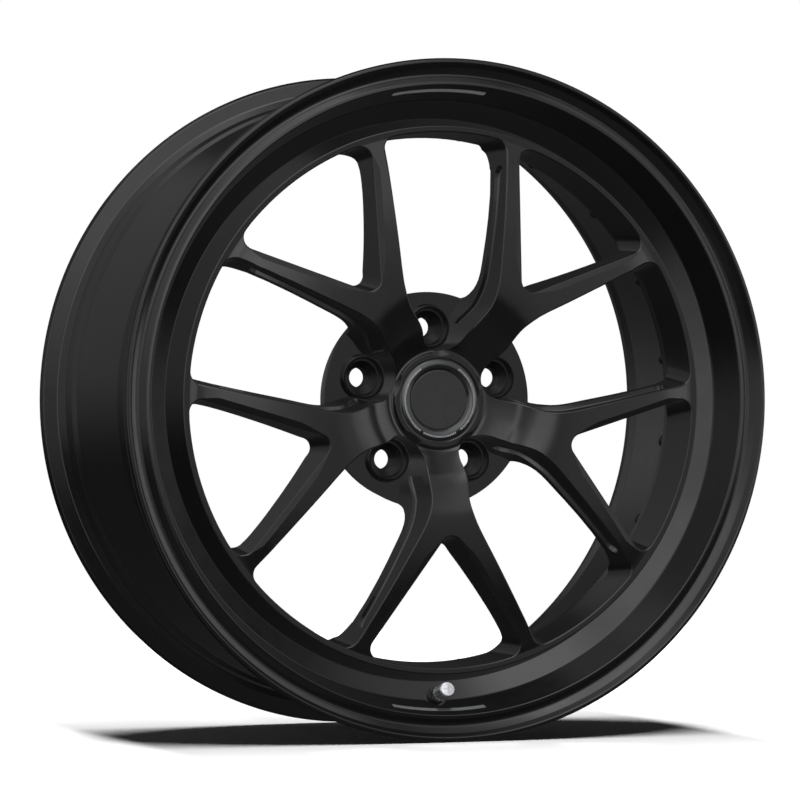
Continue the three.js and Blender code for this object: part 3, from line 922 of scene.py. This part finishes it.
# ---- lip stripes ----
def build_stripes():
    """Two plain stripes printed on the inside of the lip."""
    for name, first, last in (("top", 82.5, 100.75), ("bottom", 259.25, 277.5)):
        section = [(9, 0.25), (9, 0.04), (14, 0.04), (14, 0.25)]
        rings = []
        steps = 36
        for k in range(steps + 1):
            angle = first + (last - first) * k / steps
            rings.append([
                polar(angle, value_at([(0.6, 238.4), (30.6, 228.9)], depth) - off, 0, depth)
                for depth, off in section
            ])
        piece(f"lip_stripe_{name}", lofted(rings), [f"stripe_{name}"], "stripe_paint", FINISHES["stripe"])


# ---- carried-over nodes ----
def dress_hidden_nodes():
    """Gives the small solids inside the valve their finishes."""
    looks = {
        "valve_core": "brass", "valve_pin": "brass", "valve_spring": "spring",
        "valve_cap_seal": "rubber",
    }
    for node, look in looks.items():
        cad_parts[node].visible_glossy = False
        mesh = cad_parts[node].data
        mesh.materials.clear()
        mesh.materials.append(FINISHES[look])


# ---- stage ----
VIEW_TURN = 19.945
VIEW_DISTANCE = 3.6108  # metres
VIEW_LENS = 208.38


def build_camera():
    data = bpy.data.cameras.new("camera")
    data.sensor_width = 36
    data.lens = VIEW_LENS
    data.clip_end = 100
    turn = math.radians(VIEW_TURN)
    forward = Vector((math.sin(turn), math.cos(turn), 0))
    camera = bpy.data.objects.new("camera", data)
    camera.location = -forward * VIEW_DISTANCE
    camera.rotation_euler = forward.to_track_quat("-Z", "Y").to_euler()
    bpy.context.scene.collection.objects.link(camera)
    bpy.context.scene.camera = camera


# Soft panels of light round the wheel: how far each reaches to the right of straight ahead
# and above the floor, how softly it ends, and how bright it is.
PANELS = [
    ((-116, -52), (-10, 90), 12, 0.75),
    ((-80, -52), (10, 90), 12, 0.35),
    ((-68, -48), (22, 90), 8, 1.2),
    ((-54, -40), (-34, 26), 7, 1.6),
    ((-52, 24), (-10, 90), 10, 0.55),
    ((-42, -26), (22, 54), 8, 2.2),
    ((-26, -8), (6, 90), 10, 0.6),
    ((-14, 8), (-4, 20), 8, 1.5),
    ((-14, 24), (14, 90), 10, 1.0),
    ((-54, 26), (50, 90), 10, 1.2),
    ((24, 66), (-10, 90), 10, 0.8),
    ((47, 68), (-8, 20), 7, 1.1),
    ((88, 112), (-8, 54), 9, 1.0),
    ((66, 90), (-8, 54), 8, 0.1),
    ((-180, 180), (60, 90), 24, 0.55),
    ((-180, -112), (-2, 90), 18, 0.22),
    ((-150, -100), (48, 90), 16, 0.6),
    ((-116, 90), (-90, -20), 30, 0.15),
]


def build_world(stage):
    """White to the eye and to matte surfaces, with panels of light in reflections."""
    world = bpy.data.worlds.new("studio")
    bpy.context.scene.world = world
    world.use_nodes = True
    world.cycles.sampling_method = "NONE"
    tree = world.node_tree

    def maths(operation, *values):
        made = tree.nodes.new("ShaderNodeMath")
        made.operation = operation
        for socket, value in zip(made.inputs, values):
            if isinstance(value, (int, float)):
                socket.default_value = value
            else:
                tree.links.new(value, socket)
        return made.outputs[0]

    def fade(value, first, last):
        made = tree.nodes.new("ShaderNodeMapRange")
        made.interpolation_type = "SMOOTHSTEP"
        made.inputs["From Min"].default_value = first
        made.inputs["From Max"].default_value = last
        tree.links.new(value, made.inputs["Value"])
        return made.outputs["Result"]

    split = tree.nodes.new("ShaderNodeSeparateXYZ")
    tree.links.new(tree.nodes.new("ShaderNodeTexCoord").outputs["Generated"], split.inputs[0])
    ahead = maths("MULTIPLY", split.outputs["Y"], -1.0)
    aside = maths("DEGREES", maths("ARCTAN2", split.outputs["X"], ahead))
    above = maths("DEGREES", maths("ARCSINE", split.outputs["Z"]))
    total = stage.wall_glow
    for (left, right), (low, high), soft, glow in PANELS:
        level = glow * stage.light_level
        ends = [(above, low, 1)]
        if high < 90:
            ends.append((above, high, -1))
        if right - left < 360:
            ends += [(aside, left, 1), (aside, right, -1)]
        for value, end, way in ends:
            level = maths("MULTIPLY", fade(value, end - way * soft / 2, end + way * soft / 2), level)
        total = maths("ADD", total, level)
    path = tree.nodes.new("ShaderNodeLightPath")
    for ray, level in (("Is Diffuse Ray", 0.02), ("Is Camera Ray", 1.0)):
        mixed = tree.nodes.new("ShaderNodeMix")
        tree.links.new(path.outputs[ray], mixed.inputs[0])
        tree.links.new(total, mixed.inputs[2])
        mixed.inputs[3].default_value = level
        total = mixed.outputs[0]
    tree.links.new(total, tree.nodes["Background"].inputs["Strength"])
    tree.nodes["Background"].inputs["Color"].default_value = (1, 1, 1, 1)


def build_floor(stage):
    bm = bmesh.new()
    bmesh.ops.create_grid(bm, x_segments=1, y_segments=1, size=1.5)
    bmesh.ops.translate(bm, vec=(0, 0, FLOOR_Z - 0.0002), verts=bm.verts)
    mesh = bpy.data.meshes.new("floor")
    bm.to_mesh(mesh)
    bm.free()
    f = Finish("floor_paper", tuple(stage.floor_colour), 0.0, 0.9)
    f.shader.inputs["Specular IOR Level"].default_value = 0.0
    mesh.materials.append(f.material)
    floor = bpy.data.objects.new("floor", mesh)
    floor.visible_glossy = False
    bpy.context.scene.collection.objects.link(floor)


def softbox(name, direction, distance, size, glow, spin=0.0):
    """A square or oblong light that faces the wheel. Its glow is its own brightness."""
    data = bpy.data.lights.new(name, "AREA")
    data.shape = "RECTANGLE"
    data.size, data.size_y = size
    data.energy = glow * math.pi * size[0] * size[1]
    light = bpy.data.objects.new(name, data)
    direction = Vector(direction).normalized()
    light.location = direction * distance
    look = (-direction).to_track_quat("-Z", "Y")
    light.rotation_euler = (look @ Matrix.Rotation(math.radians(spin), 3, "Z").to_quaternion()).to_euler()
    bpy.context.scene.collection.objects.link(light)
    return light


def build_lights(stage):
    """A long narrow lamp far overhead, which throws the shadow under the wheel."""
    lamp = softbox("overhead", (-0.01, 0.0, 1.0), 8.0, (13.0, 0.4), 100 * stage.light_level)
    lamp.visible_glossy = False
    lamp.visible_camera = False


# ---- settings ----
class WheelSizes(bpy.types.PropertyGroup):
    window_edge: bpy.props.FloatProperty(
        name="Window edge", description="Radius on the edges of the spokes, in millimetres",
        default=1.1, min=0.2, max=2.0,
    )


class WheelLooks(bpy.types.PropertyGroup):
    coat_colour: bpy.props.FloatVectorProperty(
        name="Coat colour", description="Colour of the satin coat", subtype="COLOR",
        size=3, min=0, max=1, default=(0.0012, 0.0012, 0.00125),
    )
    coat_roughness: bpy.props.FloatProperty(
        name="Coat roughness", description="Roughness of the satin coat", subtype="FACTOR",
        default=0.21, min=0.05, max=1,
    )
    ring_colour: bpy.props.FloatVectorProperty(
        name="Cap ring colour", description="Colour of the cap's metal ring", subtype="COLOR",
        size=3, min=0, max=1, default=(0.075, 0.076, 0.078),
    )
    plate_colour: bpy.props.FloatVectorProperty(
        name="Cap plate colour", description="Colour of the cap's middle", subtype="COLOR",
        size=3, min=0, max=1, default=(0.013, 0.0135, 0.014),
    )
    stripe_colour: bpy.props.FloatVectorProperty(
        name="Stripe colour", description="Colour of the stripes on the lip", subtype="COLOR",
        size=3, min=0, max=1, default=(0.16, 0.165, 0.17),
    )


class WheelStage(bpy.types.PropertyGroup):
    floor_colour: bpy.props.FloatVectorProperty(
        name="Floor colour", description="Colour of the floor", subtype="COLOR",
        size=3, min=0, max=1, default=(1.0, 1.0, 1.0),
    )
    wall_glow: bpy.props.FloatProperty(
        name="Wall glow", description="Brightness of the studio walls in reflections",
        default=0.04, min=0, max=2,
    )
    light_level: bpy.props.FloatProperty(
        name="Light level", description="Strength of the softboxes", default=0.85, min=0, max=10,
    )


# ---- operators ----
class WHEEL_OT_finishes(bpy.types.Operator):
    """Makes the materials"""

    bl_idname = "wheel.finishes"
    bl_label = "Finishes"

    def execute(self, context):
        make_finishes(context.scene.wheel_looks)
        return {"FINISHED"}


class WHEEL_OT_stage(bpy.types.Operator):
    """Makes the camera, floor, studio and lights"""

    bl_idname = "wheel.stage"
    bl_label = "Stage"

    def execute(self, context):
        stage = context.scene.wheel_stage
        build_camera()
        build_world(stage)
        build_floor(stage)
        build_lights(stage)
        context.scene.view_settings.view_transform = "Standard"
        return {"FINISHED"}


class WHEEL_OT_disc(bpy.types.Operator):
    """Makes the forged centre with its forked spokes"""

    bl_idname = "wheel.disc"
    bl_label = "Forged centre"

    def execute(self, context):
        build_disc(context.scene.wheel_sizes)
        return {"FINISHED"}


class WHEEL_OT_rims(bpy.types.Operator):
    """Makes the two rim halves and the sealant between them"""

    bl_idname = "wheel.rims"
    bl_label = "Rim halves"

    def execute(self, context):
        build_rims()
        return {"FINISHED"}


class WHEEL_OT_bolts(bpy.types.Operator):
    """Makes the bolts that hold the rim together"""

    bl_idname = "wheel.bolts"
    bl_label = "Assembly bolts"

    def execute(self, context):
        build_bolts()
        return {"FINISHED"}


class WHEEL_OT_hub_parts(bpy.types.Operator):
    """Makes the lug seats and the centring ring"""

    bl_idname = "wheel.hub_parts"
    bl_label = "Seats and hub ring"

    def execute(self, context):
        build_seats()
        build_hub_ring()
        return {"FINISHED"}


class WHEEL_OT_cap(bpy.types.Operator):
    """Makes the centre cap"""

    bl_idname = "wheel.cap"
    bl_label = "Centre cap"

    def execute(self, context):
        build_cap()
        return {"FINISHED"}


class WHEEL_OT_valve(bpy.types.Operator):
    """Makes the tyre valve and its cap"""

    bl_idname = "wheel.valve"
    bl_label = "Valve"

    def execute(self, context):
        build_valve()
        dress_hidden_nodes()
        return {"FINISHED"}


class WHEEL_OT_stripes(bpy.types.Operator):
    """Makes the two stripes on the lip"""

    bl_idname = "wheel.stripes"
    bl_label = "Lip stripes"

    def execute(self, context):
        build_stripes()
        return {"FINISHED"}


STEPS = [
    WHEEL_OT_finishes, WHEEL_OT_stage, WHEEL_OT_disc, WHEEL_OT_rims, WHEEL_OT_bolts,
    WHEEL_OT_hub_parts, WHEEL_OT_cap, WHEEL_OT_valve, WHEEL_OT_stripes,
]


class WHEEL_PT_panel(bpy.types.Panel):
    """Lists the wheel's settings and pieces"""

    bl_idname = "WHEEL_PT_panel"
    bl_label = "Forged wheel"
    bl_space_type = "VIEW_3D"
    bl_region_type = "UI"
    bl_category = "Wheel"

    def draw(self, context):
        for group in (context.scene.wheel_sizes, context.scene.wheel_looks, context.scene.wheel_stage):
            for name in group.bl_rna.properties.keys():
                if name not in ("rna_type", "name"):
                    self.layout.prop(group, name)
        for step in STEPS:
            self.layout.operator(step.bl_idname)


GROUPS = {"wheel_sizes": WheelSizes, "wheel_looks": WheelLooks, "wheel_stage": WheelStage}


def register():
    for cls in (*GROUPS.values(), *STEPS, WHEEL_PT_panel):
        bpy.utils.register_class(cls)
    for name, group in GROUPS.items():
        setattr(bpy.types.Scene, name, bpy.props.PointerProperty(type=group))


def unregister():
    for name in GROUPS:
        delattr(bpy.types.Scene, name)
    for cls in reversed((*GROUPS.values(), *STEPS, WHEEL_PT_panel)):
        bpy.utils.unregister_class(cls)


def main():
    register()
    for step in STEPS:
        group, name = step.bl_idname.split(".")
        getattr(getattr(bpy.ops, group), name)()


if __name__ == "__main__":
    main()
